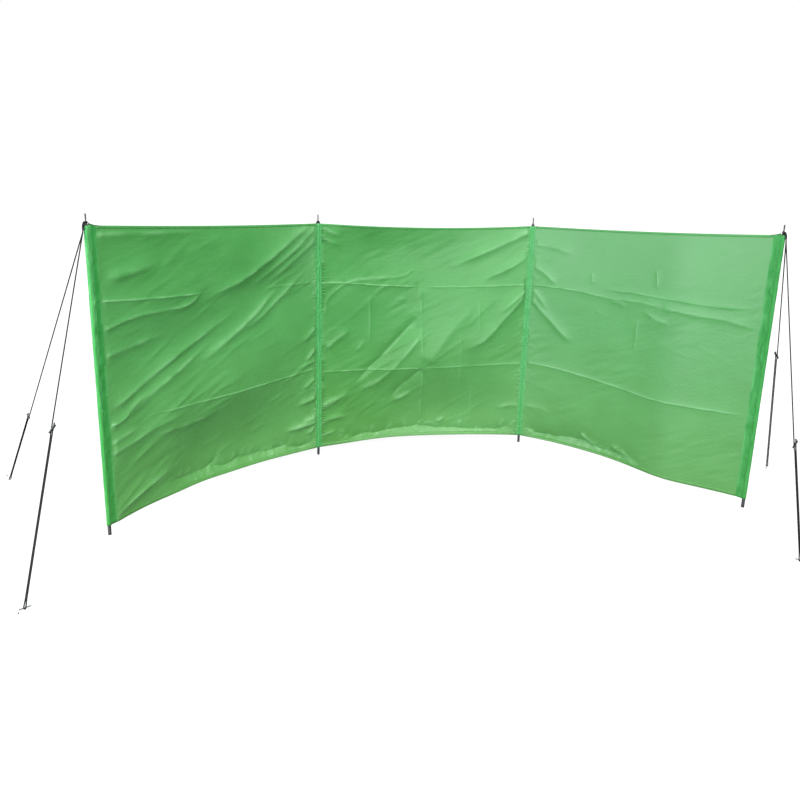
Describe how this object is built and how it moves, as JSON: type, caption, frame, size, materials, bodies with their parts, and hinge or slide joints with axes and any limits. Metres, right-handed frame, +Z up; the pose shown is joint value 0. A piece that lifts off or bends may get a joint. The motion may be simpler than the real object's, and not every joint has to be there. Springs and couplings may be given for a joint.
{
  "type": "beach windbreak",
  "caption": "Green cloth windbreak in bays on upright steel poles, with webbing loops over the pole pins and pegged guy ropes at both ends.",
  "frame": {"origin": "centre of the left inner pole's foot, at ground level", "axes": "+X along the middle bay to the right inner pole, +Y to the windward side, away from the sheltered side, +Z up"},
  "size_m": [4.5483, 1.7987, 1.5012],
  "materials": {
    "cloth": "thin coated polyester, slightly shiny",
    "pole_steel": "satin dark grey paint",
    "pin_steel": "plain drawn steel",
    "webbing": "woven black webbing",
    "rope": "braided cord",
    "slider_plastic": "moulded",
    "peg_steel": "galvanised wire"
  },
  "bodies": {
    "root": {"left_end_pole": "pole_steel", "left_end_pin": "pin_steel", "left_end_top_loop": "webbing", "left_end_sleeve": "cloth", "left_inner_pole": "pole_steel", "left_inner_pin": "pin_steel", "left_inner_top_loop": "webbing", "left_inner_sleeve": "cloth", "right_inner_pole": "pole_steel", "right_inner_pin": "pin_steel", "right_inner_top_loop": "webbing", "right_inner_sleeve": "cloth", "right_end_pole": "pole_steel", "right_end_pin": "pin_steel", "right_end_top_loop": "webbing", "right_end_sleeve": "cloth", "left_panel": "cloth", "middle_panel": "cloth", "right_panel": "cloth", "left_guy_loop": "rope", "right_guy_loop": "rope", "left_rear_guy_line": "rope", "left_rear_guy_return": "rope", "left_rear_slider": "slider_plastic", "left_rear_peg": "peg_steel", "left_front_guy_line": "rope", "left_front_guy_return": "rope", "left_front_slider": "slider_plastic", "left_front_peg": "peg_steel", "right_rear_guy_line": "rope", "right_rear_guy_return": "rope", "right_rear_slider": "slider_plastic", "right_rear_peg": "peg_steel", "right_front_guy_line": "rope", "right_front_guy_return": "rope", "right_front_slider": "slider_plastic", "right_front_peg": "peg_steel"}
  },
  "joints": []
}
